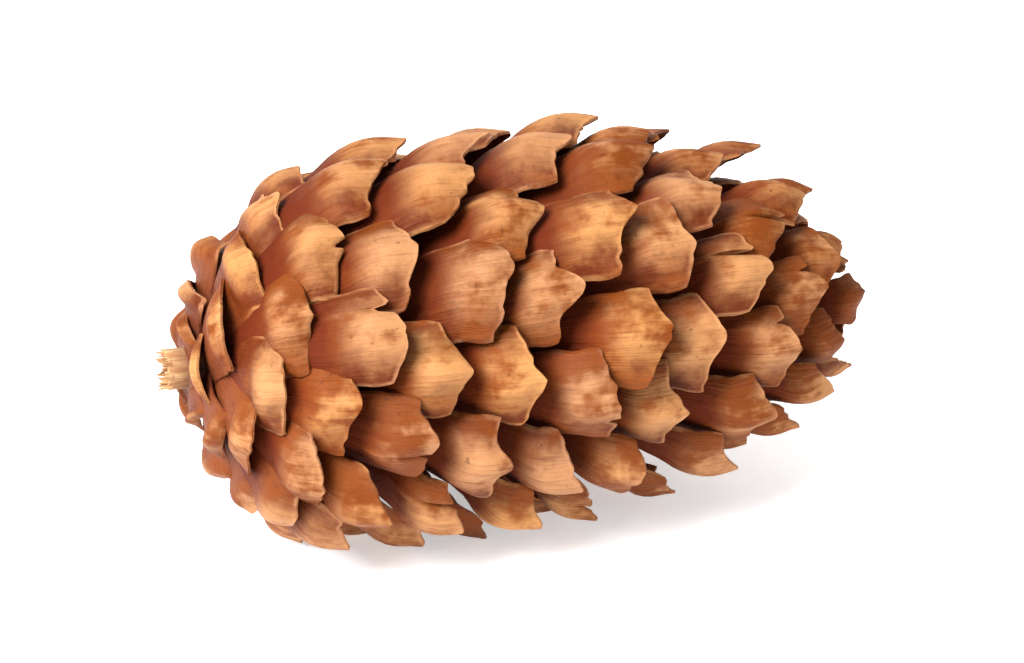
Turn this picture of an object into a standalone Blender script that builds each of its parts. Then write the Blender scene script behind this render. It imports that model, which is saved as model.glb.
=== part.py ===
# A ripe, open spruce cone, shed whole and lying on its side. X runs along its axis, with the apex at +X.
# The origin is on the surface that it lies on, under the middle of its box.

import math
import random

import bmesh
import bpy
from mathutils import Vector

MM = 0.001

# The whole cone. Its scales are placed one after another up a spiral, by where their tips are
SCALE_COUNT = 121
FIRST_TIP_X = -27.5 * MM
RISE = 0.517 * MM
DIVERGENCE = math.radians(139.2)
FIRST_ANGLE = math.radians(290.4)
AXIS_HEIGHT = 16.16 * MM
SEED = 58

# From this scale on, each rise is shorter than the one before
CROWDED_FROM = 89
CROWDING = 0.0043 * MM

# Small bracts carry the spiral on below its first scale, close round the stalk
BRACT_COUNT = 5
BRACT_RISE = 0.12 * MM

# The outline that the tips reach: a rounded base, straight sides and a slimmer rounded apex
TIP_RADIUS = 17.2 * MM
BASE_END_X = -28.6 * MM
BASE_SHOULDER_X = -12.0 * MM
APEX_SHOULDER_X = 0.8 * MM
APEX_END_X = 30.8 * MM
BASE_ROUNDNESS = 2.0
APEX_ROUNDNESS = 2.2
SLOPE_STEP = 0.4 * MM

# The central axis that every scale grows from: places along it, in mm from its start, and the radius there
CORE_SIDES = 10
CORE_START_X = -27.9 * MM
CORE_PROFILE_MM = ((0, 0), (0, 2.0), (1.5, 3.4), (8, 4.2), (36, 4.0), (48, 2.4), (55.5, 0))

# One scale in the middle of the cone: its root, its width along it, and how it is domed and thick
ROOT_RADIUS = 1.4 * MM
ROOT_SHARE = 0.25
SCALE_HALF_WIDTH = 3.95 * MM
CLAW_SHARE = 0.24
WIDENS_FROM = 0.2
WIDE_FROM = 0.78
WIDE_UNTIL = 0.9
TIP_SHARE = 0.9
SCALE_THICKNESS = 0.7 * MM
DOME = 1.4 * MM
BULGE = 0.6 * MM
CORNER_DROP = 0.11
CORNER_CURVE = 1.2

# The angles that it stands at, from the axis: at its root, and at its tip, and what it turns past its knee
ROOT_ANGLE = math.radians(84)
OPENING = math.radians(9.5)
KNEE_PLACE = 0.68
KNEE_TURN = math.radians(26)
KNEE_MOST = 0.5

# The scales stand further open on the side that faces down and to the front
OPEN_SIDE = math.radians(239)
OPEN_SIDE_EXTRA = math.radians(10.5)

# How scales change towards the base and towards the apex
SIZE_POWER = 0.5
BASE_WIDENING = 0.3
BASE_CLAW_SHARE = 0.8
BASE_CLAW_GROWTH = 1.6
BASE_REFLEX = math.radians(20)
BASE_SLOPE_FOLLOWED = 0.88
APEX_LEAN = math.radians(5)
APEX_SLOPE_FOLLOWED = 0.5

# How much one scale differs from the next
ANGLE_SPREAD = math.radians(2.5)
ROLL_SPREAD = 0.07
YAW_SPREAD = 0.05
RADIUS_SPREAD = 0.035
WIDTH_SPREAD = 0.05
TOOTH_SPREAD = 0.035

# Rows of points on a scale, from its root to its tip, and from one side to the other. Scales under the small
# size have every second column only
ROWS = (0.0, 0.66, 1.0)
SMALL_SIZE = 0.86
COLUMNS = (-1.0, -0.55, 0.0, 0.55, 1.0)

# The broken stalk at the base
STALK_RADIUS = 2.1 * MM
STALK_LENGTH = 2.1 * MM
STALK_START_X = -28.5 * MM
STALK_SIDES = 9
STALK_TAPER = 0.85
STALK_TORN_SHARE = 0.3

# The flat spots that the lowest tips rest on are cut by a slab this wide
FLOOR_SLAB = 0.2

# Linear colours and roughness of the two materials
SCALE_LOOK = ((0.42, 0.17, 0.06), 0.62)
STALK_LOOK = ((0.62, 0.45, 0.26), 0.8)

# Edges sharper than this stay crisp in the shading
SHARP_ANGLE = math.radians(35)


def clear_scene():
    for old in list(bpy.data.objects):
        bpy.data.objects.remove(old)


def new_collection(name):
    made = bpy.data.collections.new(name)
    bpy.context.scene.collection.children.link(made)
    return made


def new_material(name, colour, roughness):
    made = bpy.data.materials.new(name)
    made.use_nodes = True
    shader = made.node_tree.nodes["Principled BSDF"]
    shader.inputs["Base Color"].default_value = (*colour, 1.0)
    shader.inputs["Roughness"].default_value = roughness
    shader.inputs["Metallic"].default_value = 0.0
    return made


def new_object(name, mesh, collection):
    made = bpy.data.objects.new(name, mesh)
    collection.objects.link(made)
    return made


def shade_round(mesh):
    mesh.shade_smooth()
    mesh.set_sharp_from_angle(angle=SHARP_ANGLE)


def smooth(t):
    t = min(max(t, 0.0), 1.0)
    return t * t * (3 - 2 * t)


# How far a place along the axis is past the shoulder of the base, and of the apex, with 1 at the very end
def end_shares(x):
    to_base = max(0.0, (BASE_SHOULDER_X - x) / (BASE_SHOULDER_X - BASE_END_X))
    to_apex = max(0.0, (x - APEX_SHOULDER_X) / (APEX_END_X - APEX_SHOULDER_X))
    return min(to_base, 1.0), min(to_apex, 1.0)


def outline_radius(x):
    to_base, to_apex = end_shares(x)
    return TIP_RADIUS * math.sqrt(1 - to_base**BASE_ROUNDNESS) * math.sqrt(1 - to_apex**APEX_ROUNDNESS)


# How far an arc of the given length goes forward and out while it turns from one angle to another
def arc(start, end, length):
    turn = (end - start) / length
    return (math.sin(end) - math.sin(start)) / turn, (math.cos(start) - math.cos(end)) / turn


# A scale's long profile is two arcs: from its root to the knee it bends little, and past it more
def profile(form, run):
    knee_run = KNEE_PLACE * form["length"]
    start, knee, tip = form["angles"]
    if run <= knee_run:
        here = start + (knee - start) * run / knee_run
        forward, out = arc(start, here, run) if run > 0 else (0.0, 0.0)
        return forward, out, here
    lower_forward, lower_out = arc(start, knee, knee_run)
    here = knee + (tip - knee) * (run - knee_run) / (form["length"] - knee_run)
    forward, out = arc(knee, here, run - knee_run)
    return lower_forward + forward, lower_out + out, here


def three_angles(root_angle, tip_angle):
    return root_angle, tip_angle + min(KNEE_TURN, KNEE_MOST * (root_angle - tip_angle)), tip_angle


# Place, size, bend and irregularity of one scale, from the lowest (index 0) to the one at the apex. The
# bracts have the indices below 0
def scale_form(index, draw):
    tip_x = FIRST_TIP_X + index * (RISE if index > 0 else BRACT_RISE)
    tip_x -= CROWDING * max(0, index - CROWDED_FROM) ** 2
    angle = FIRST_ANGLE + index * DIVERGENCE
    to_base, to_apex = end_shares(tip_x)
    radius = outline_radius(tip_x)
    rise = outline_radius(tip_x + SLOPE_STEP) - outline_radius(tip_x - SLOPE_STEP)
    slope = math.atan2(rise, 2 * SLOPE_STEP)
    mid_share = 1 - max(to_base, to_apex) ** 2
    extra = OPEN_SIDE_EXTRA * mid_share * math.cos(angle - OPEN_SIDE)
    extra += draw.uniform(-ANGLE_SPREAD, ANGLE_SPREAD)
    root_angle = ROOT_ANGLE + BASE_REFLEX * to_base - APEX_LEAN * to_apex
    followed = BASE_SLOPE_FOLLOWED if slope > 0 else APEX_SLOPE_FOLLOWED
    tip_angle = slope * followed + OPENING
    size = (radius / TIP_RADIUS) ** SIZE_POWER
    half_width = SCALE_HALF_WIDTH * size * (1 + BASE_WIDENING * to_base)
    root_radius = min(ROOT_RADIUS, ROOT_SHARE * radius)
    form = {
        "angle": angle,
        "angles": three_angles(root_angle, tip_angle),
        "length": 1.0,
        "size": size,
        "half_width": half_width * (1 + draw.uniform(-WIDTH_SPREAD, WIDTH_SPREAD)),
        "claw": CLAW_SHARE + (BASE_CLAW_SHARE - CLAW_SHARE) * smooth(to_base * BASE_CLAW_GROWTH),
        "root_radius": root_radius,
        "roll": draw.uniform(-ROLL_SPREAD, ROLL_SPREAD),
        "yaw": draw.uniform(-YAW_SPREAD, YAW_SPREAD),
        "teeth": [draw.uniform(0, TOOTH_SPREAD) for _ in COLUMNS],
    }
    # the roots are spaced as regularly as the tips of scales that all stand open alike
    forward, out, _ = profile(form, 1.0)
    form["root_x"] = tip_x - forward * (radius - root_radius) / out
    # each scale then opens in its own way, and is as long as it must be for its tip to reach the outline
    form["angles"] = three_angles(root_angle, tip_angle + extra)
    out = profile(form, 1.0)[1]
    form["length"] = (radius * (1 + draw.uniform(-RADIUS_SPREAD, RADIUS_SPREAD)) - root_radius) / out
    return form


# Half the width of a scale along its length: the claw at its root, straight sides, then the blunt tip
def width_share(claw, along):
    past = max(0.0, (along - WIDE_UNTIL) / (1 - WIDE_UNTIL))
    broader = smooth((along - WIDENS_FROM) / (WIDE_FROM - WIDENS_FROM))
    return claw + (1 - claw) * broader - (1 - TIP_SHARE) * past


# A point of the outer face of a scale. across is -1 to 1, along is 0 at the root and 1 at the tip
def scale_point(form, across, along, tooth):
    drop = CORNER_DROP * abs(across) ** CORNER_CURVE + tooth
    run = form["length"] * (along - drop * along**3)
    forward, out, here = profile(form, run)
    breadth = width_share(form["claw"], along)
    side = across * form["half_width"] * breadth
    lift = side * form["roll"] * along - DOME * form["size"] * (across * breadth) ** 2
    past_knee = max(0.0, along - KNEE_PLACE) / (1 - KNEE_PLACE)
    lift += BULGE * form["size"] * (1 - across**2) * math.sin(math.pi * past_knee)
    forward -= lift * math.sin(here)
    out += form["root_radius"] + lift * math.cos(here)
    side += form["yaw"] * run
    outward = Vector((0, math.cos(form["angle"]), math.sin(form["angle"])))
    sideways = Vector((0, -math.sin(form["angle"]), math.cos(form["angle"])))
    root = Vector((form["root_x"] + forward, 0, AXIS_HEIGHT))
    return root + outward * out + sideways * side


# One scale is a small sheet of triangles, reshaped by the formula and given its thickness
def make_scale(index, draw, collection):
    form = scale_form(index, draw)
    mesh = bpy.data.meshes.new("scale")
    step = 2 if form["size"] < SMALL_SIZE else 1
    strips = (len(COLUMNS) - 1) // step
    grid = bmesh.new()
    bmesh.ops.create_grid(grid, x_segments=strips, y_segments=len(ROWS) - 1, size=1)
    for point in grid.verts:
        column = round((point.co.x + 1) / 2 * strips) * step
        row = round((point.co.y + 1) / 2 * (len(ROWS) - 1))
        point.co = scale_point(form, COLUMNS[column], ROWS[row], form["teeth"][column])
    bmesh.ops.triangulate(grid, faces=grid.faces)
    grid.to_mesh(mesh)
    grid.free()
    made = new_object(mesh.name, mesh, collection)
    thick = made.modifiers.new("thickness", "SOLIDIFY")
    thick.thickness = SCALE_THICKNESS
    thick.offset = -1
    return made


# The central axis, a slim spindle made from a sphere: its poles and rings move to the profile's places
def make_core(collection):
    mesh = bpy.data.meshes.new("core")
    body = bmesh.new()
    rings = len(CORE_PROFILE_MM) - 1
    bmesh.ops.create_uvsphere(body, u_segments=CORE_SIDES, v_segments=rings, radius=1)
    for point in body.verts:
        ring = round(math.acos(max(-1.0, min(1.0, -point.co.z))) / math.pi * rings)
        along, radius = CORE_PROFILE_MM[ring]
        around = math.atan2(point.co.y, point.co.x)
        across = radius * MM * math.cos(around)
        up = radius * MM * math.sin(around)
        point.co = Vector((CORE_START_X + along * MM, across, up + AXIS_HEIGHT))
    body.to_mesh(mesh)
    body.free()
    return new_object("cone", mesh, collection)


def apply_modifiers(target):
    graph = bpy.context.evaluated_depsgraph_get()
    mesh = bpy.data.meshes.new_from_object(target.evaluated_get(graph))
    target.modifiers.clear()
    target.data = mesh


def remove_collection(collection):
    for item in list(collection.objects):
        bpy.data.objects.remove(item)
    bpy.data.collections.remove(collection)


# Only the outer skin is kept: a hollow that the joined scales close off is filled, and a loose scrap goes
def keep_outer_body(target):
    skin = bmesh.new()
    skin.from_mesh(target.data)
    waiting = set(skin.verts)
    bodies = []
    while waiting:
        found = [waiting.pop()]
        for point in found:
            for edge in point.link_edges:
                other = edge.other_vert(point)
                if other in waiting:
                    waiting.remove(other)
                    found.append(other)
        bodies.append(found)
    bodies.sort(key=len)
    for body in bodies[:-1]:
        bmesh.ops.delete(skin, geom=body, context="VERTS")
    skin.to_mesh(target.data)
    skin.free()


def fuse(target, others):
    join = target.modifiers.new("fuse", "BOOLEAN")
    join.operation = "UNION"
    join.operand_type = "COLLECTION"
    join.collection = others
    join.solver = "MANIFOLD"
    apply_modifiers(target)
    remove_collection(others)
    keep_outer_body(target)


# What lies below the surface is cut away, which leaves small flat spots on the lowest tips
def flatten_at_floor(target):
    cutters = new_collection("floor_cutters")
    mesh = bpy.data.meshes.new("floor_slab")
    slab = bmesh.new()
    bmesh.ops.create_cube(slab, size=FLOOR_SLAB)
    bmesh.ops.translate(slab, verts=slab.verts, vec=(0, 0, -FLOOR_SLAB / 2))
    slab.to_mesh(mesh)
    slab.free()
    cutter = new_object("floor_slab", mesh, cutters)
    cutter.hide_render = True
    cutter.display_type = "WIRE"
    cut = target.modifiers.new("flat_spots", "BOOLEAN")
    cut.operation = "DIFFERENCE"
    cut.object = cutter
    cut.solver = "MANIFOLD"
    apply_modifiers(target)
    remove_collection(cutters)
    keep_outer_body(target)


def make_cone(collection):
    draw = random.Random(SEED)
    scales = new_collection("scales")
    for index in (*range(SCALE_COUNT), *range(-BRACT_COUNT, 0)):
        make_scale(index, draw, scales)
    cone = make_core(collection)
    fuse(cone, scales)
    flatten_at_floor(cone)
    cone.data.materials.clear()
    cone.data.materials.append(new_material("cone_scale", *SCALE_LOOK))
    shade_round(cone.data)
    return cone


# A short broken stub, with its torn end uneven
def make_stalk(collection):
    draw = random.Random(SEED + 1)
    mesh = bpy.data.meshes.new("stalk")
    stub = bmesh.new()
    bmesh.ops.create_cone(
        stub,
        cap_ends=True,
        segments=STALK_SIDES,
        radius1=STALK_RADIUS * STALK_TAPER,
        radius2=STALK_RADIUS,
        depth=STALK_LENGTH,
    )
    for point in stub.verts:
        torn = 0.0
        if point.co.z < 0:
            torn = draw.uniform(0, STALK_TORN_SHARE) * STALK_LENGTH
        along = STALK_START_X - STALK_LENGTH / 2 + point.co.z + torn
        point.co = Vector((along, point.co.x, point.co.y + AXIS_HEIGHT))
    bmesh.ops.triangulate(stub, faces=stub.faces)
    stub.to_mesh(mesh)
    stub.free()
    stalk = new_object("stalk", mesh, collection)
    stalk.data.materials.append(new_material("stalk_wood", *STALK_LOOK))
    shade_round(mesh)
    return stalk


clear_scene()
spruce_cone = new_collection("spruce_cone")
make_cone(spruce_cone)
make_stalk(spruce_cone)
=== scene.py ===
import math
import random

import bpy
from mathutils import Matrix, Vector


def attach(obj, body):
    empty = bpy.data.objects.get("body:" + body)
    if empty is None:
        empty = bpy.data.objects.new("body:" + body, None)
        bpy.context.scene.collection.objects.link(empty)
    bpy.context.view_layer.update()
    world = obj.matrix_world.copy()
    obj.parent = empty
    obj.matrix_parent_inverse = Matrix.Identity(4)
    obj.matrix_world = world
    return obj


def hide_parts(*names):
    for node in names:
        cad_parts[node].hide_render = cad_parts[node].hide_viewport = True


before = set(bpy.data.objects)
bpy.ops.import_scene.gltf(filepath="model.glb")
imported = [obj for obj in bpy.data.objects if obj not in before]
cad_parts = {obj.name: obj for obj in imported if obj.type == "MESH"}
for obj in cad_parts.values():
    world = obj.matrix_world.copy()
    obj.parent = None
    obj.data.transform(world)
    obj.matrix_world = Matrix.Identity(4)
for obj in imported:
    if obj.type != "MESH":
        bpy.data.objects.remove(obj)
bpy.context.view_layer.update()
print("frame loaded")

mm = 0.001

# where the photograph was taken from: low over the surface, a little towards the stalk end
shot = {
    "azimuth": -12.0,
    "elevation": 31.0,
    "distance": 0.52,
    "lens": 215.0,
    "aim": (0.0002, 0.0, 0.0162),
}


def aimAt(thing, target):
    way = Vector(target) - thing.location
    thing.rotation_euler = way.to_track_quat("-Z", "Y").to_euler()


def placeCamera():
    turn = math.radians(shot["azimuth"])
    rise = math.radians(shot["elevation"])
    back = Vector((math.sin(turn) * math.cos(rise), -math.cos(turn) * math.cos(rise), math.sin(rise)))
    bpy.ops.object.camera_add(location=Vector(shot["aim"]) + back * shot["distance"])
    camera = bpy.context.object
    camera.name = "camera"
    camera.data.lens = shot["lens"]
    camera.data.clip_start = 0.01
    aimAt(camera, shot["aim"])
    bpy.context.scene.camera = camera


placeCamera()
print("camera placed")


# shader maths written as sums: a wire is a socket that can be added, multiplied and so on
class Wire:
    def __init__(self, board, socket):
        self.board = board
        self.socket = socket

    def maths(self, operation, first, second):
        return self.board.node("ShaderNodeMath", {"operation": operation}, {0: first, 1: second})

    def __add__(self, other):
        return self.maths("ADD", self, other)

    __radd__ = __add__

    def __mul__(self, other):
        return self.maths("MULTIPLY", self, other)

    __rmul__ = __mul__

    def __sub__(self, other):
        return self.maths("SUBTRACT", self, other)

    def __rsub__(self, other):
        return self.maths("SUBTRACT", other, self)

    def __abs__(self):
        return self.maths("ABSOLUTE", self, 0.0)

    def most(self, other):
        return self.maths("MAXIMUM", self, other)


# one material's nodes
class Board:
    def __init__(self, name):
        self.material = bpy.data.materials.new(name)
        self.material.use_nodes = True
        self.nodes = self.material.node_tree.nodes
        self.links = self.material.node_tree.links
        self.shader = self.nodes["Principled BSDF"]

    def feed(self, socket, value):
        if isinstance(value, Wire):
            self.links.new(value.socket, socket)
        elif isinstance(value, tuple) and len(value) == 3 and socket.type == "RGBA":
            socket.default_value = (*value, 1.0)
        else:
            socket.default_value = value

    def node(self, kind, settings, inputs, output=0):
        made = self.nodes.new(kind)
        for name, value in settings.items():
            setattr(made, name, value)
        for key, value in inputs.items():
            self.feed(made.inputs[key], value)
        return Wire(self, made.outputs[output])

    def ramp(self, value, low, high):
        settings = {"interpolation_type": "SMOOTHSTEP", "clamp": True}
        inputs = {"Value": value, "From Min": low, "From Max": high}
        return self.node("ShaderNodeMapRange", settings, inputs)

    def blend(self, share, first, second, mode="MIX"):
        settings = {"data_type": "RGBA", "blend_type": mode, "clamp_factor": True}
        return self.node("ShaderNodeMix", settings, {0: share, 6: first, 7: second}, 2)

    def noise(self, place, scale, detail=3.0, roughness=0.55):
        inputs = {"Vector": place, "Scale": scale, "Detail": detail, "Roughness": roughness}
        return self.node("ShaderNodeTexNoise", {}, inputs)

    def join(self, x, y, z):
        return self.node("ShaderNodeCombineXYZ", {}, {0: x, 1: y, 2: z})

    def split(self, vector):
        parts = self.node("ShaderNodeSeparateXYZ", {}, {0: vector}).socket.node
        return [Wire(self, socket) for socket in parts.outputs]

    def place(self):
        return self.node("ShaderNodeTexCoord", {}, {}, "Object")

    def attribute(self, name):
        return self.node("ShaderNodeAttribute", {"attribute_name": name}, {}, "Fac")

    def bump(self, height, distance, strength=1.0):
        inputs = {"Height": height, "Distance": distance, "Strength": strength}
        return self.node("ShaderNodeBump", {}, inputs)

    def finish(self, colour, roughness, normal=None, **constants):
        self.feed(self.shader.inputs["Base Color"], colour)
        self.feed(self.shader.inputs["Roughness"], roughness)
        if normal:
            self.feed(self.shader.inputs["Normal"], normal)
        for name, value in constants.items():
            self.shader.inputs[name].default_value = value
        return self.material


# a screen colour as the linear one that a shader takes
def linear(red, green, blue):
    def one(value):
        share = value / 255
        if share <= 0.04045:
            return share / 12.92
        return ((share + 0.055) / 1.055) ** 2.4

    return (one(red), one(green), one(blue))


# a scale's colours, the two tints that they are multiplied by, and the sizes of its pattern
scaleFinish = {
    "middle": linear(112, 54, 12),
    "russet": linear(88, 34, 5),
    # crest: the colour of the painted highlight on each scale's domed middle
    "crest": linear(184, 133, 86),
    # root: the dark colour of the covered root, which partly stands for painted shade in the creases
    "root": linear(86, 28, 5),
    "base": linear(106, 56, 37),
    "streak": linear(84, 32, 6),
    # rim: the paler margin's colour, partly its own and partly a painted highlight on the thin edges
    "rim": linear(184, 131, 88),
    "inner": linear(84, 35, 13),
    "wing": linear(112, 58, 28),
    "innerTip": linear(132, 74, 38),
    "speck": linear(56, 24, 10),
    "golden": (1.05, 1.0, 0.8),
    "rosy": (0.95, 0.93, 1.05),
    "patchScale": 330.0,
    "speckScale": 1500.0,
    "grainScale": 2600.0,
    "relief": 0.4 * mm,
    "reliefStrength": 0.85,
    "roughness": 0.46,
    "gloss": 0.12,
}


def scaleMaterial():
    board = Board("coneScale")
    look = scaleFinish
    across, along, _ = board.split(board.node("ShaderNodeUVMap", {"uv_map": "scaleUv"}, {}))
    across = across * 2 - 1
    tone = board.attribute("tone")
    side = board.attribute("side")
    bare = board.attribute("bare")
    object = board.place()

    # fine fans run from the claw to the tip, each scale with its own
    fans = board.noise(board.join(across * 6 + tone * 41, along * 2.6 + tone * 7, tone * 23), 1.0, 4.0, 0.6)
    hairs = board.noise(board.join(across * 34 + tone * 67, along * 2.6, tone * 31), 1.0, 2.0, 0.5)
    patches = board.noise(object, look["patchScale"], 3.0, 0.6)
    grain = board.noise(object, look["grainScale"], 3.0, 0.65)

    # painted highlight: the domed middle of the exposed part is painted pale in patches where light falls
    # on it, and the rest is warmer and darker
    outer = board.blend(board.ramp(patches + (tone - 0.5) * 0.3, 0.4, 0.66), look["middle"], look["russet"])
    domed = board.ramp(abs(across + (patches - 0.5) * 1.4), 1.0, 0.1) * board.ramp(along, 0.7, 0.88)
    paintedHighlight = domed * board.ramp(patches + (fans - 0.5) * 0.5 + (tone - 0.5) * 0.3, 0.3, 0.6)
    outer = board.blend(paintedHighlight * 0.8, outer, look["crest"])
    outer = board.blend(board.ramp(fans, 0.52, 0.76) * 0.42, outer, look["streak"])
    outer = board.blend(board.ramp(hairs, 0.5, 0.78) * 0.3, outer, look["streak"])
    # the covered root is darker, partly by its own colour and partly as painted shade in the creases under
    # the scales above
    coveredRootAndShade = 1 - board.ramp(along + bare * 0.6 + (fans - 0.5) * 0.16, 0.62, 0.84)
    outer = board.blend(bare * board.ramp(along, 0.85, 0.4) * 0.7, outer, look["base"])
    outer = board.blend(coveredRootAndShade * 0.92, outer, look["root"])

    # the thin margin is paler in places, partly its own paler colour and partly a painted highlight where
    # light catches the thin edge
    toTip = board.ramp(along + (hairs - 0.5) * 0.02, 0.972, 0.995)
    toSide = board.ramp(abs(across) + (fans - 0.5) * 0.1, 0.92, 0.99) * board.ramp(along, 0.6, 0.8)
    margin = toTip.most(toSide) * board.ramp(patches + (tone - 0.5) * 0.3, 0.42, 0.68)
    outer = board.blend(margin * 0.5, outer, look["rim"])

    # the inner face is darker, with the two marks that the winged seeds left
    wingShape = board.ramp(abs(abs(across) - 0.42), 0.34, 0.2) * board.ramp(along, 0.9, 0.8)
    inner = board.blend(board.ramp(fans, 0.35, 0.75), look["inner"], look["root"])
    inner = board.blend(wingShape * board.ramp(along, 0.15, 0.4) * 0.6, inner, look["wing"])
    inner = board.blend(board.ramp(along, 0.86, 0.98) * 0.8, inner, look["innerTip"])
    inner = board.blend(margin * 0.5, inner, look["rim"])

    # the edge between the two faces is paler in places, partly its own paler colour and partly a painted
    # highlight, and fine dark specks lie on both
    colour = board.blend(board.ramp(side, 0.35, 0.65), outer, inner)
    edge = board.ramp(side, 0.02, 0.2) * board.ramp(side, 0.98, 0.8) * board.ramp(along, 0.4, 0.7)
    colour = board.blend(edge * board.ramp(patches, 0.35, 0.65) * 0.4, colour, look["rim"])
    specks = board.ramp(board.noise(object, look["speckScale"], 2.0, 0.5), 0.7, 0.75)
    colour = board.blend(specks * 0.5, colour, look["speck"])

    # some scales are more golden and some rosier
    hue = board.ramp(board.noise(board.join(tone * 90, 0.0, 0.0), 1.0), 0.35, 0.65)
    colour = board.blend(1.0, colour, board.blend(hue, look["golden"], look["rosy"]), "MULTIPLY")
    shade = 0.84 + grain * 0.32
    colour = board.blend(1.0, colour, board.join(shade, shade, shade), "MULTIPLY")

    height = fans * 0.9 + hairs * 0.3 + patches * 0.5 + grain * 0.16
    normal = board.bump(height, look["relief"], look["reliefStrength"])
    rough = look["roughness"] + grain * 0.22 + coveredRootAndShade * 0.2
    return board.finish(colour, rough, normal, **{"Specular IOR Level": look["gloss"]})


coneMaterial = scaleMaterial()
print("scale material made")


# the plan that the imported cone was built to, so that the fine scales stand where its solids do
plan = {
    "count": 121,
    "seed": 58,
    "firstTipX": -27.5 * mm,
    "rise": 0.517 * mm,
    "crowdedFrom": 89,
    "crowding": 0.0043 * mm,
    "divergence": math.radians(139.2),
    "bracts": 5,
    "bractRise": 0.12 * mm,
    "firstAngle": math.radians(290.4),
    "axisHeight": 16.16 * mm,
    "tipRadius": 17.2 * mm,
    "baseEndX": -28.6 * mm,
    "baseShoulderX": -12.0 * mm,
    "apexShoulderX": 0.8 * mm,
    "apexEndX": 30.8 * mm,
    "baseRoundness": 2.0,
    "apexRoundness": 2.2,
    "slopeStep": 0.4 * mm,
    "rootRadius": 1.4 * mm,
    "rootShare": 0.25,
    "halfWidth": 3.95 * mm,
    "claw": 0.24,
    "baseClaw": 0.8,
    "tip": 0.9,
    "widensFrom": 0.2,
    "wideFrom": 0.78,
    "wideUntil": 0.9,
    "dome": 1.4 * mm,
    "bulge": 0.6 * mm,
    "rootAngle": math.radians(84),
    "opening": math.radians(9.5),
    "kneePlace": 0.68,
    "kneeTurn": math.radians(26),
    "kneeMost": 0.5,
    "cornerDrop": 0.11,
    "openSide": math.radians(239),
    "openSideExtra": math.radians(10.5),
    "sizePower": 0.5,
    "baseWidening": 0.3,
    "baseSlopeFollowed": 0.88,
    "apexSlopeFollowed": 0.5,
    "baseReflex": math.radians(20),
    "apexLean": math.radians(5),
    "angleSpread": math.radians(2.5),
    "rollSpread": 0.07,
    "yawSpread": 0.05,
    "radiusSpread": 0.035,
    "widthSpread": 0.05,
    "toothSpread": 0.035,
    "toothPlaces": (-1.0, -0.55, 0.0, 0.55, 1.0),
}

# what only the fine scales have: a pair is the least and the most that is drawn for a scale
fine = {
    "columns": 32,
    "rows": 24,
    "rowCrowding": 1.25,
    "seed": 41,
    "tiers": (
        ("lowerScales", 0, 38),
        ("middleScales", 38, 76),
        ("upperScales", 76, 121),
        ("bracts", 121, 126),
    ),
    "thickness": 0.6 * mm,
    "marginThickness": 0.26 * mm,
    "thinsFrom": 0.75,
    "curl": (-0.6 * mm, 0.35 * mm),
    "curlFrom": 0.85,
    "puff": (0.1 * mm, 0.5 * mm),
    "crown": (0.1 * mm, 0.35 * mm),
    "crownFrom": 0.72,
    "lobe": (0.003, 0.017),
    "flare": (0.06, 0.2),
    "flareFrom": 0.8,
    "wave": (0.08 * mm, 0.3 * mm),
    "waves": 8,
    "otherSideLag": 2.1,
    "ripples": 3,
    "ripple": 0.11 * mm,
    "ripplePace": (1.5, 4.5),
    "nicks": 15,
    "nickDepth": 0.02,
    "tipPlace": (-0.3, 0.3),
    "cornerCurve": (1.0, 1.7),
    "splitChance": 0.16,
    "splitPlace": (-0.7, 0.7),
    "splitDepth": (0.05, 0.14),
    "splitWidth": (0.06, 0.12),
    "smoothAngle": math.radians(50),
    "floorSoftness": 0.1 * mm,
}


def smooth(share):
    share = min(max(share, 0.0), 1.0)
    return share * share * (3 - 2 * share)


# how far a place along the scale is past another one, with 1 at the scale's tip
def past(along, start):
    return max(0.0, (along - start) / (1 - start))


# how far a place is past the shoulder of the base, and of the apex, with 1 at the very end
def endShares(x):
    toBase = (plan["baseShoulderX"] - x) / (plan["baseShoulderX"] - plan["baseEndX"])
    toApex = (x - plan["apexShoulderX"]) / (plan["apexEndX"] - plan["apexShoulderX"])
    return min(max(toBase, 0.0), 1.0), min(max(toApex, 0.0), 1.0)


# how far from the axis the tips of the scales reach
def outlineRadius(x):
    toBase, toApex = endShares(x)
    baseShare = math.sqrt(1 - toBase ** plan["baseRoundness"])
    return plan["tipRadius"] * baseShare * math.sqrt(1 - toApex ** plan["apexRoundness"])


# how far an arc goes forward and out while it turns from one angle to another
def arc(start, end, length):
    turn = (end - start) / length
    return (math.sin(end) - math.sin(start)) / turn, (math.cos(start) - math.cos(end)) / turn


# a scale's long profile is two arcs: from its root to the knee it bends little, and past it more
def profile(form, run):
    kneeRun = plan["kneePlace"] * form["length"]
    start, knee, tip = form["angles"]
    if run <= kneeRun:
        here = start + (knee - start) * run / kneeRun
        forward, out = arc(start, here, run) if run > 1e-9 else (0.0, 0.0)
        return forward, out, here
    lowerForward, lowerOut = arc(start, knee, kneeRun)
    here = knee + (tip - knee) * (run - kneeRun) / (form["length"] - kneeRun)
    forward, out = arc(knee, here, run - kneeRun)
    return lowerForward + forward, lowerOut + out, here


def threeAngles(rootAngle, tipAngle):
    return rootAngle, tipAngle + min(plan["kneeTurn"], plan["kneeMost"] * (rootAngle - tipAngle)), tipAngle


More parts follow.
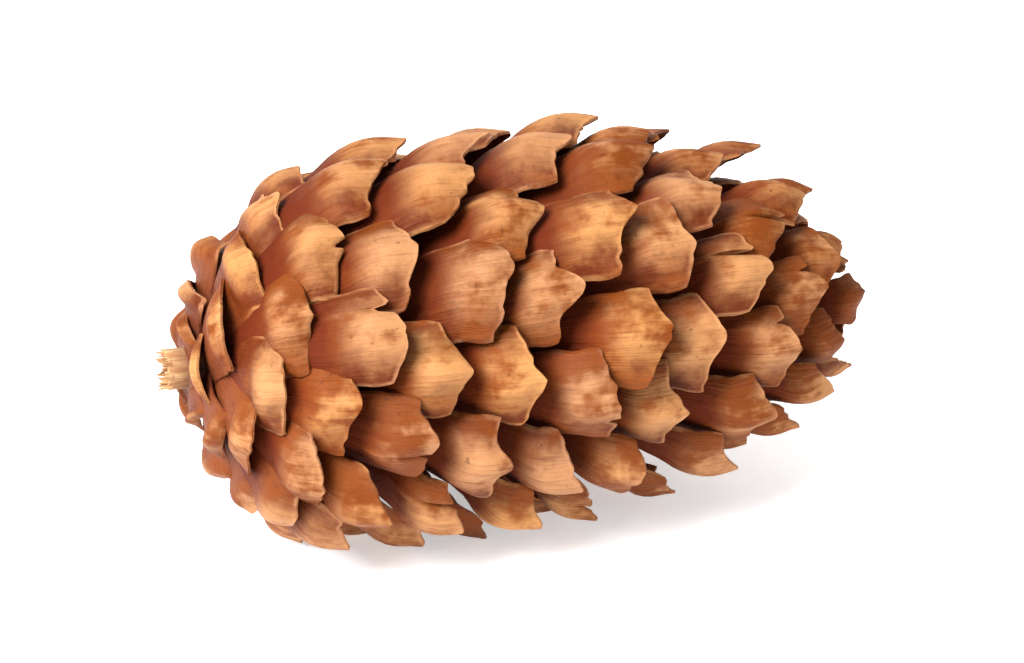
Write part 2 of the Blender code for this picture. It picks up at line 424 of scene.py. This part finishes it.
# the same draws, in the same order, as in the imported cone's plan
def scaleForm(index, draw):
    tipX = plan["firstTipX"] + index * plan["rise" if index > 0 else "bractRise"]
    tipX -= plan["crowding"] * max(0, index - plan["crowdedFrom"]) ** 2
    angle = plan["firstAngle"] + index * plan["divergence"]
    toBase, toApex = endShares(tipX)
    radius = outlineRadius(tipX)
    step = plan["slopeStep"]
    slope = math.atan2(outlineRadius(tipX + step) - outlineRadius(tipX - step), 2 * step)
    midShare = 1 - max(toBase, toApex) ** 2
    extra = plan["openSideExtra"] * midShare * math.cos(angle - plan["openSide"])
    extra += draw.uniform(-plan["angleSpread"], plan["angleSpread"])
    rootAngle = plan["rootAngle"] + plan["baseReflex"] * toBase - plan["apexLean"] * toApex
    followed = plan["baseSlopeFollowed"] if slope > 0 else plan["apexSlopeFollowed"]
    tipAngle = slope * followed + plan["opening"]
    size = (radius / plan["tipRadius"]) ** plan["sizePower"]
    halfWidth = plan["halfWidth"] * size * (1 + plan["baseWidening"] * toBase)
    rootRadius = min(plan["rootRadius"], plan["rootShare"] * radius)
    form = {
        "angle": angle,
        "angles": threeAngles(rootAngle, tipAngle),
        "length": 1.0,
        "size": size,
        "halfWidth": halfWidth * (1 + draw.uniform(-plan["widthSpread"], plan["widthSpread"])),
        "claw": plan["claw"] + (plan["baseClaw"] - plan["claw"]) * smooth(toBase * 1.6),
        "bare": smooth((toBase - 0.35) / 0.5),
        "rootRadius": rootRadius,
        "roll": draw.uniform(-plan["rollSpread"], plan["rollSpread"]),
        "yaw": draw.uniform(-plan["yawSpread"], plan["yawSpread"]),
        "teeth": [draw.uniform(0, plan["toothSpread"]) for _ in plan["toothPlaces"]],
    }
    forward, out, _ = profile(form, 1.0)
    form["rootX"] = tipX - forward * (radius - rootRadius) / out
    form["angles"] = threeAngles(rootAngle, tipAngle + extra)
    out = profile(form, 1.0)[1]
    radius *= 1 + draw.uniform(-plan["radiusSpread"], plan["radiusSpread"])
    form["length"] = (radius - rootRadius) / out
    return form


# the irregular margin, waves and curl that are drawn for the fine scales alone
def addCharacter(form, draw):
    for name in ("curl", "puff", "crown"):
        form[name] = draw.uniform(*fine[name]) * form["size"]
    form["lobe"] = draw.uniform(*fine["lobe"])
    form["flare"] = draw.uniform(*fine["flare"])
    form["wave"] = draw.uniform(*fine["wave"]) * form["size"]
    form["phase"] = draw.uniform(0, math.tau)
    form["ripples"] = [
        (draw.uniform(*fine["ripplePace"]), draw.uniform(0, math.tau)) for _ in range(fine["ripples"])
    ]
    form["nicks"] = [draw.random() ** 2 * fine["nickDepth"] for _ in range(fine["nicks"])]
    form["tipPlace"] = draw.uniform(*fine["tipPlace"])
    form["cornerCurve"] = draw.uniform(*fine["cornerCurve"])
    form["tone"] = draw.random()
    form["split"] = None
    if draw.random() < fine["splitChance"]:
        width, depth = draw.uniform(*fine["splitWidth"]), draw.uniform(*fine["splitDepth"])
        form["split"] = (draw.uniform(*fine["splitPlace"]), width, depth)


# a scale widens from its claw, keeps its width for a while and narrows a little to its tip
def widthShare(claw, along):
    broader = smooth((along - plan["widensFrom"]) / (plan["wideFrom"] - plan["widensFrom"]))
    return claw + (1 - claw) * broader - (1 - plan["tip"]) * past(along, plan["wideUntil"])


# the value at a place from 0 to 1 along a list of evenly spaced ones, with straight runs between them
def between(values, place):
    step = place * (len(values) - 1)
    before = min(int(step), len(values) - 2)
    return values[before] + (values[before + 1] - values[before]) * (step - before)


# a place across the scale counted from its middle lobe, with 1 and -1 at its corners
def offTip(form, across):
    return (across - form["tipPlace"]) / (1 + abs(form["tipPlace"]))


# how far the margin falls short of the full length at one place across it
def marginDrop(form, across):
    off = offTip(form, across)
    drop = plan["cornerDrop"] * abs(off) ** form["cornerCurve"]
    drop += form["lobe"] * (1 - math.cos(math.tau * off))
    places = plan["toothPlaces"]
    for left, right, first, second in zip(places, places[1:], form["teeth"], form["teeth"][1:]):
        if left <= across <= right:
            drop += between((first, second), (across - left) / (right - left))
            break
    drop += between(form["nicks"], (across + 1) / 2)
    if form["split"]:
        place, width, depth = form["split"]
        drop += depth * max(0.0, 1 - abs(across - place) / width)
    return drop


# where a point of the blank stands on the finished scale
def scalePoint(form, across, along, depth, drop):
    run = form["length"] * (along - drop * along**3)
    forward, out, here = profile(form, run)
    breadth = widthShare(form["claw"], along) + form["flare"] * smooth(past(along, fine["flareFrom"]))
    flank = across * form["halfWidth"] * breadth
    lift = flank * form["roll"] * along - plan["dome"] * form["size"] * (across * breadth) ** 2
    pastKnee = past(along, plan["kneePlace"])
    lift += plan["bulge"] * form["size"] * (1 - across**2) * math.sin(math.pi * pastKnee)
    lift += form["puff"] * (1 - across**2) * math.sin(math.pi * min(1.0, pastKnee * 1.2))
    crest = math.cos(math.tau * offTip(form, across))
    lift += form["crown"] * crest * smooth(past(along, fine["crownFrom"]))
    lift += form["curl"] * past(along, fine["curlFrom"]) ** 2
    turn = along * fine["waves"] + form["phase"] + (fine["otherSideLag"] if across > 0 else 0)
    lift += form["wave"] * math.sin(turn) * abs(across) ** 3 * along
    ripple = fine["ripple"] / fine["ripples"] * form["size"] * smooth(along * 1.5)
    for pace, phase in form["ripples"]:
        lift += ripple * math.sin(pace * across + phase + along * 2)
    edge = max(abs(across) ** 4, smooth(past(along, fine["thinsFrom"])))
    lift -= depth * (fine["thickness"] + (fine["marginThickness"] - fine["thickness"]) * edge)
    forward -= lift * math.sin(here)
    out += form["rootRadius"] + lift * math.cos(here)
    flank += form["yaw"] * run
    angle = form["angle"]
    x = form["rootX"] + forward
    y = out * math.cos(angle) - flank * math.sin(angle)
    z = plan["axisHeight"] + out * math.sin(angle) + flank * math.cos(angle)
    # what would sink below the surface is pressed flat on it
    z = (z + math.sqrt(z * z + 4 * fine["floorSoftness"] ** 2)) / 2
    return Vector((x, y, z))


def useOnly(thing):
    bpy.ops.object.select_all(action="DESELECT")
    thing.select_set(True)
    bpy.context.view_layer.objects.active = thing


def applyModifier(thing, kind, **settings):
    useOnly(thing)
    made = thing.modifiers.new(kind.lower(), kind)
    for name, value in settings.items():
        setattr(made, name, value)
    bpy.ops.object.modifier_apply(modifier=made.name)


# the blank that every scale is copied from: a thin plate whose x runs from -1 to 1 across the scale, and
# whose y runs from 0 at its root to 1 at its tip
def makeBlank():
    bpy.ops.object.select_all(action="DESELECT")
    bpy.ops.mesh.primitive_grid_add(
        x_subdivisions=fine["columns"], y_subdivisions=fine["rows"], size=2, calc_uvs=True
    )
    blank = bpy.context.object
    blank.name = "scaleBlank"
    for point in blank.data.vertices:
        share = (point.co.y + 1) / 2
        point.co.y = 1 - (1 - share) ** fine["rowCrowding"]
    layer = blank.data.uv_layers[0]
    layer.name = "scaleUv"
    for loop in blank.data.loops:
        place = blank.data.vertices[loop.vertex_index].co
        layer.data[loop.index].uv = ((place.x + 1) / 2, place.y)
    applyModifier(blank, "SOLIDIFY", thickness=1.0, offset=-1.0)
    return blank


def makeScale(blank, form):
    mesh = blank.data.copy()
    tone = mesh.attributes.new("tone", "FLOAT", "POINT")
    side = mesh.attributes.new("side", "FLOAT", "POINT")
    bare = mesh.attributes.new("bare", "FLOAT", "POINT")
    drops = {}
    for point in mesh.vertices:
        across, along, depth = point.co.x, point.co.y, -point.co.z
        key = round(across, 4)
        if key not in drops:
            drops[key] = marginDrop(form, across)
        point.co = scalePoint(form, across, along, depth, drops[key])
        tone.data[point.index].value = form["tone"]
        side.data[point.index].value = depth
        bare.data[point.index].value = form["bare"]
    scale = bpy.data.objects.new("scale", mesh)
    bpy.context.scene.collection.objects.link(scale)
    return scale


def joinAll(things, name):
    bpy.ops.object.select_all(action="DESELECT")
    for thing in things:
        thing.select_set(True)
    bpy.context.view_layer.objects.active = things[0]
    bpy.ops.object.join()
    joined = bpy.context.object
    joined.name = name
    joined.data.name = name
    return joined


# a joined piece gets its one material and smooth shading up to the sharp angle
def dress(piece, material):
    piece.data.materials.clear()
    piece.data.materials.append(material)
    useOnly(piece)
    bpy.ops.object.shade_smooth_by_angle(angle=fine["smoothAngle"])


def makeScales():
    blank = makeBlank()
    draw = random.Random(plan["seed"])
    whims = random.Random(fine["seed"])
    forms = [scaleForm(index, draw) for index in (*range(plan["count"]), *range(-plan["bracts"], 0))]
    for form in forms:
        addCharacter(form, whims)
    for name, first, last in fine["tiers"]:
        tier = joinAll([makeScale(blank, form) for form in forms[first:last]], name)
        dress(tier, coneMaterial)
        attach(tier, "root")
        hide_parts("cone")
        print(name, "made,", len(tier.data.polygons), "faces")
    bpy.data.objects.remove(blank)


makeScales()

# the central axis, which shows deep between the scales
axis = {
    "start": -27.9 * mm,
    "profile": ((0, 0), (0, 2.0), (1.5, 3.4), (8, 4.2), (36, 4.0), (48, 2.4), (55.5, 0)),
    "segments": 40,
    "rings": 60,
    "capShare": 0.02,
    "furrows": 13,
    "furrowTwist": 1.7,
    "furrow": 0.16 * mm,
    "bark": linear(84, 44, 26),
    "crest": linear(128, 74, 44),
}


def axisMaterial():
    board = Board("coneAxis")
    object = board.place()
    grain = board.noise(object, 900.0, 4.0, 0.6)
    colour = board.blend(board.ramp(grain, 0.35, 0.7), axis["bark"], axis["crest"])
    return board.finish(colour, 0.75 + grain * 0.15, board.bump(grain, 0.0002, 0.8))


# the profile's stops are millimetres along the axis and out from it
def profileRadius(along):
    stops = axis["profile"]
    for (x0, r0), (x1, r1) in zip(stops, stops[1:]):
        if x0 <= along <= x1 and x1 > x0:
            return (r0 + (r1 - r0) * (along - x0) / (x1 - x0)) * mm
    return 0.0


def makeAxis():
    length = axis["profile"][-1][0]
    bpy.ops.object.select_all(action="DESELECT")
    bpy.ops.mesh.primitive_uv_sphere_add(segments=axis["segments"], ring_count=axis["rings"], radius=1)
    spindle = bpy.context.object
    spindle.name = "axis"
    for point in spindle.data.vertices:
        share = math.acos(max(-1.0, min(1.0, -point.co.z))) / math.pi
        around = math.atan2(point.co.y, point.co.x)
        along = length * min(1.0, max(0.0, (share - axis["capShare"]) / (1 - 2 * axis["capShare"])))
        radius = profileRadius(along) if 0.001 < share < 0.999 else 0.0
        if radius > 0:
            radius += math.sin(around * axis["furrows"] + along * axis["furrowTwist"]) * axis["furrow"]
        point.co = Vector(
            (
                axis["start"] + along * mm,
                radius * math.cos(around),
                plan["axisHeight"] + radius * math.sin(around),
            )
        )
    dress(spindle, axisMaterial())
    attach(spindle, "root")
    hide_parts("cone")
    print("axis made")


makeAxis()

# the broken stalk: a short stub with a hollow middle and a crown of torn fibres
stalk = {
    "radius": 1.75 * mm,
    "end": -27.3 * mm,
    "length": 2.3 * mm,
    "pith": 0.7 * mm,
    "pithDepth": 0.9 * mm,
    "sides": 36,
    "rimBevel": 0.12 * mm,
    "tornDepth": 0.5 * mm,
    "tornFade": 0.4 * mm,
    "fibres": 54,
    "fibreTurn": 2.39996,
    "fibreStray": (-0.2, 0.2),
    "fibreReach": (0.1, 0.92),
    "fibreLength": (0.45 * mm, 1.2 * mm),
    "fibreRadius": (0.13 * mm, 0.3 * mm),
    "fibreFlare": (-0.15, 0.35),
    "fibreFlatness": 0.6,
    "fibreSunk": 0.35 * mm,
    "seed": 5,
    "pale": linear(196, 156, 108),
    "wood": linear(146, 98, 58),
    "bark": linear(92, 50, 28),
}


def stalkMaterial():
    board = Board("stalkWood")
    object = board.place()
    stretched = board.node("ShaderNodeMapping", {}, {"Vector": object, "Scale": (300.0, 2600.0, 2600.0)})
    grain = board.noise(stretched, 1.0, 3.0, 0.6)
    torn = board.attribute("torn")
    colour = board.blend(board.ramp(grain, 0.35, 0.7), stalk["wood"], stalk["pale"])
    colour = board.blend((1 - torn) * 0.8, colour, stalk["bark"])
    return board.finish(colour, 0.7 + grain * 0.2, board.bump(grain, 0.0002, 0.7))


# the torn wood is paler than the bark, so each point says how torn it is
def markTorn(mesh, value):
    torn = mesh.attributes.new("torn", "FLOAT", "POINT")
    for point in mesh.vertices:
        torn.data[point.index].value = value(point.co)


def makeStub():
    bpy.ops.object.select_all(action="DESELECT")
    middle = stalk["end"] - stalk["length"] / 2
    bpy.ops.mesh.primitive_cylinder_add(
        vertices=stalk["sides"],
        radius=stalk["radius"],
        depth=stalk["length"],
        location=(middle, 0, plan["axisHeight"]),
        rotation=(0, -math.pi / 2, 0),
    )
    stub = bpy.context.object
    bpy.ops.object.transform_apply(location=True, rotation=True, scale=True)
    bpy.ops.object.mode_set(mode="EDIT")
    bpy.ops.mesh.select_all(action="DESELECT")
    bpy.ops.object.mode_set(mode="OBJECT")
    for face in stub.data.polygons:
        face.select = face.normal.x < -0.9
    bpy.ops.object.mode_set(mode="EDIT")
    bpy.ops.mesh.inset(thickness=stalk["radius"] - stalk["pith"])
    bpy.ops.mesh.extrude_region_move(TRANSFORM_OT_translate={"value": (stalk["pithDepth"], 0, 0)})
    bpy.ops.object.mode_set(mode="OBJECT")
    applyModifier(stub, "BEVEL", width=stalk["rimBevel"], segments=2, limit_method="ANGLE")
    tornFrom = stalk["end"] - stalk["length"] + stalk["tornDepth"]
    markTorn(stub.data, lambda place: smooth((tornFrom - place.x) / stalk["tornFade"]))
    return stub


# one fibre is a slim five-sided spike, copied all round the stub's broken end
def makeFibres():
    draw = random.Random(stalk["seed"])
    bpy.ops.object.select_all(action="DESELECT")
    bpy.ops.mesh.primitive_cone_add(vertices=5, radius1=1, radius2=0.25, depth=1)
    spike = bpy.context.object
    fibres = []
    for index in range(stalk["fibres"]):
        around = index * stalk["fibreTurn"] + draw.uniform(*stalk["fibreStray"])
        reach = stalk["pith"] + (stalk["radius"] - stalk["pith"]) * draw.uniform(*stalk["fibreReach"])
        length = draw.uniform(*stalk["fibreLength"])
        thick = draw.uniform(*stalk["fibreRadius"])
        flare = draw.uniform(*stalk["fibreFlare"])
        mesh = spike.data.copy()
        for point in mesh.vertices:
            share = point.co.z + 0.5
            out = reach + point.co.x * thick + flare * length * share**2
            sway = point.co.y * thick * stalk["fibreFlatness"]
            x = stalk["end"] - stalk["length"] + stalk["fibreSunk"] - share * length
            y = out * math.cos(around) - sway * math.sin(around)
            z = plan["axisHeight"] + out * math.sin(around) + sway * math.cos(around)
            point.co = Vector((x, y, z))
        fibre = bpy.data.objects.new("fibre", mesh)
        bpy.context.scene.collection.objects.link(fibre)
        markTorn(mesh, lambda place: 1.0)
        fibres.append(fibre)
    bpy.data.objects.remove(spike)
    return fibres


def makeStalk():
    stub = makeStub()
    piece = joinAll([stub] + makeFibres(), "stalkStub")
    useOnly(piece)
    bpy.ops.object.mode_set(mode="EDIT")
    bpy.ops.mesh.select_all(action="SELECT")
    bpy.ops.mesh.normals_make_consistent(inside=False)
    bpy.ops.object.mode_set(mode="OBJECT")
    dress(piece, stalkMaterial())
    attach(piece, "root")
    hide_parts("stalk")
    print("stalk made")


makeStalk()

# the pale surface and the soft studio light: a lamp is its name, place, size and power
studio = {
    "floorSize": 3.0,
    "floor": (0.92, 0.92, 0.925),
    "floorGlow": 0.46,
    "world": (1.0, 1.0, 1.0),
    "worldStrength": 0.45,
    "lamps": (
        ("key", (-0.42, -0.20, 0.52), 0.4, 12.6),
        ("side", (0.55, -0.35, 0.35), 0.6, 1.3),
        ("back", (0.1, 0.6, 0.5), 0.6, 2.4),
    ),
}


def makeStudio():
    bpy.ops.object.select_all(action="DESELECT")
    bpy.ops.mesh.primitive_plane_add(size=studio["floorSize"], location=(0, 0, 0))
    floor = bpy.context.object
    floor.name = "floor"
    board = Board("floorPaper")
    glow = {"Emission Color": (1.0, 1.0, 1.0, 1.0), "Emission Strength": studio["floorGlow"]}
    floor.data.materials.append(board.finish(studio["floor"], 0.9, **glow))
    world = bpy.data.worlds.new("studio")
    bpy.context.scene.world = world
    world.use_nodes = True
    background = world.node_tree.nodes["Background"]
    background.inputs["Color"].default_value = (*studio["world"], 1.0)
    background.inputs["Strength"].default_value = studio["worldStrength"]
    for name, place, size, power in studio["lamps"]:
        bpy.ops.object.light_add(type="AREA", location=place)
        lamp = bpy.context.object
        lamp.name = name
        lamp.data.size = size
        lamp.data.energy = power
        aimAt(lamp, shot["aim"])
    bpy.context.scene.view_settings.view_transform = "Standard"
    print("studio made")


makeStudio()
